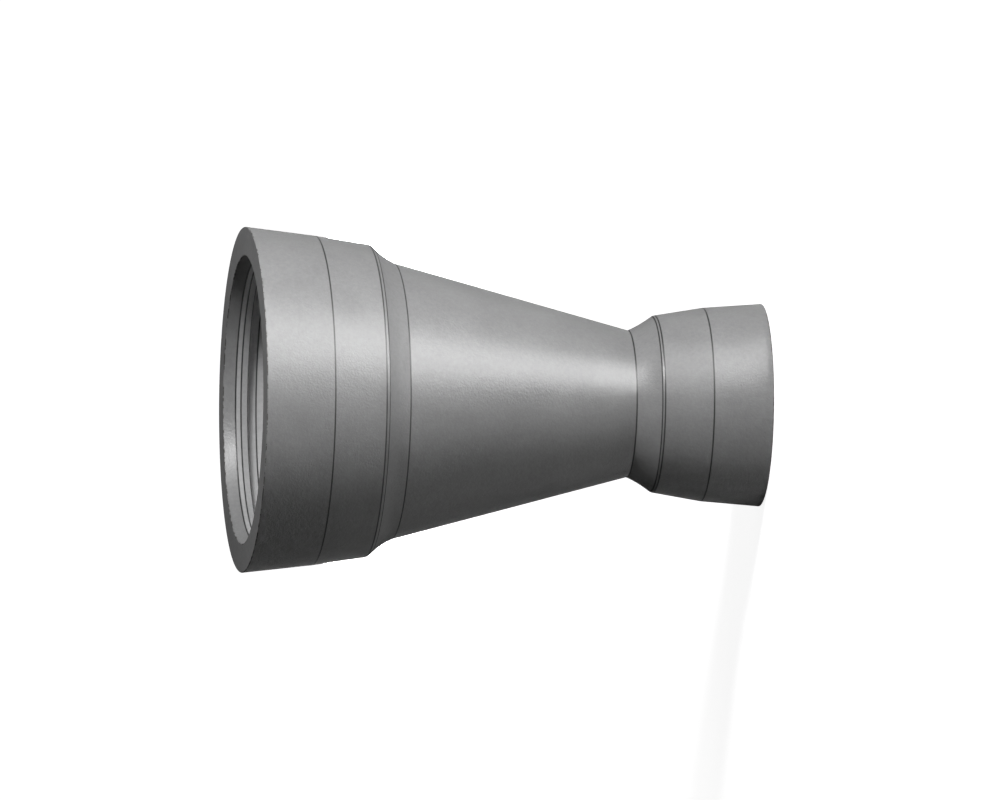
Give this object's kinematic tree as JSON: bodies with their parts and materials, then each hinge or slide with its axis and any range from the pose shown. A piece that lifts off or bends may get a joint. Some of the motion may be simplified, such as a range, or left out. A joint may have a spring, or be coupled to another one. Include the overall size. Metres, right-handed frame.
{
  "type": "double socket reducer",
  "caption": "Cast iron pipe reducer with a wide push-on socket at one end, a narrow one at the other and a tapered barrel between them.",
  "frame": {"origin": "centre of the small socket's mouth face, which the part stands on", "axes": "+Z along the pipe axis, from the small mouth up to the large mouth; X and Y are alike, because the part is round"},
  "size_m": [0.2778, 0.2778, 0.419],
  "materials": {
    "coated_iron": "as-cast iron under a thin grey coating, low satin sheen"
  },
  "bodies": {
    "root": {"reducer_casting": "coated_iron"}
  },
  "joints": []
}
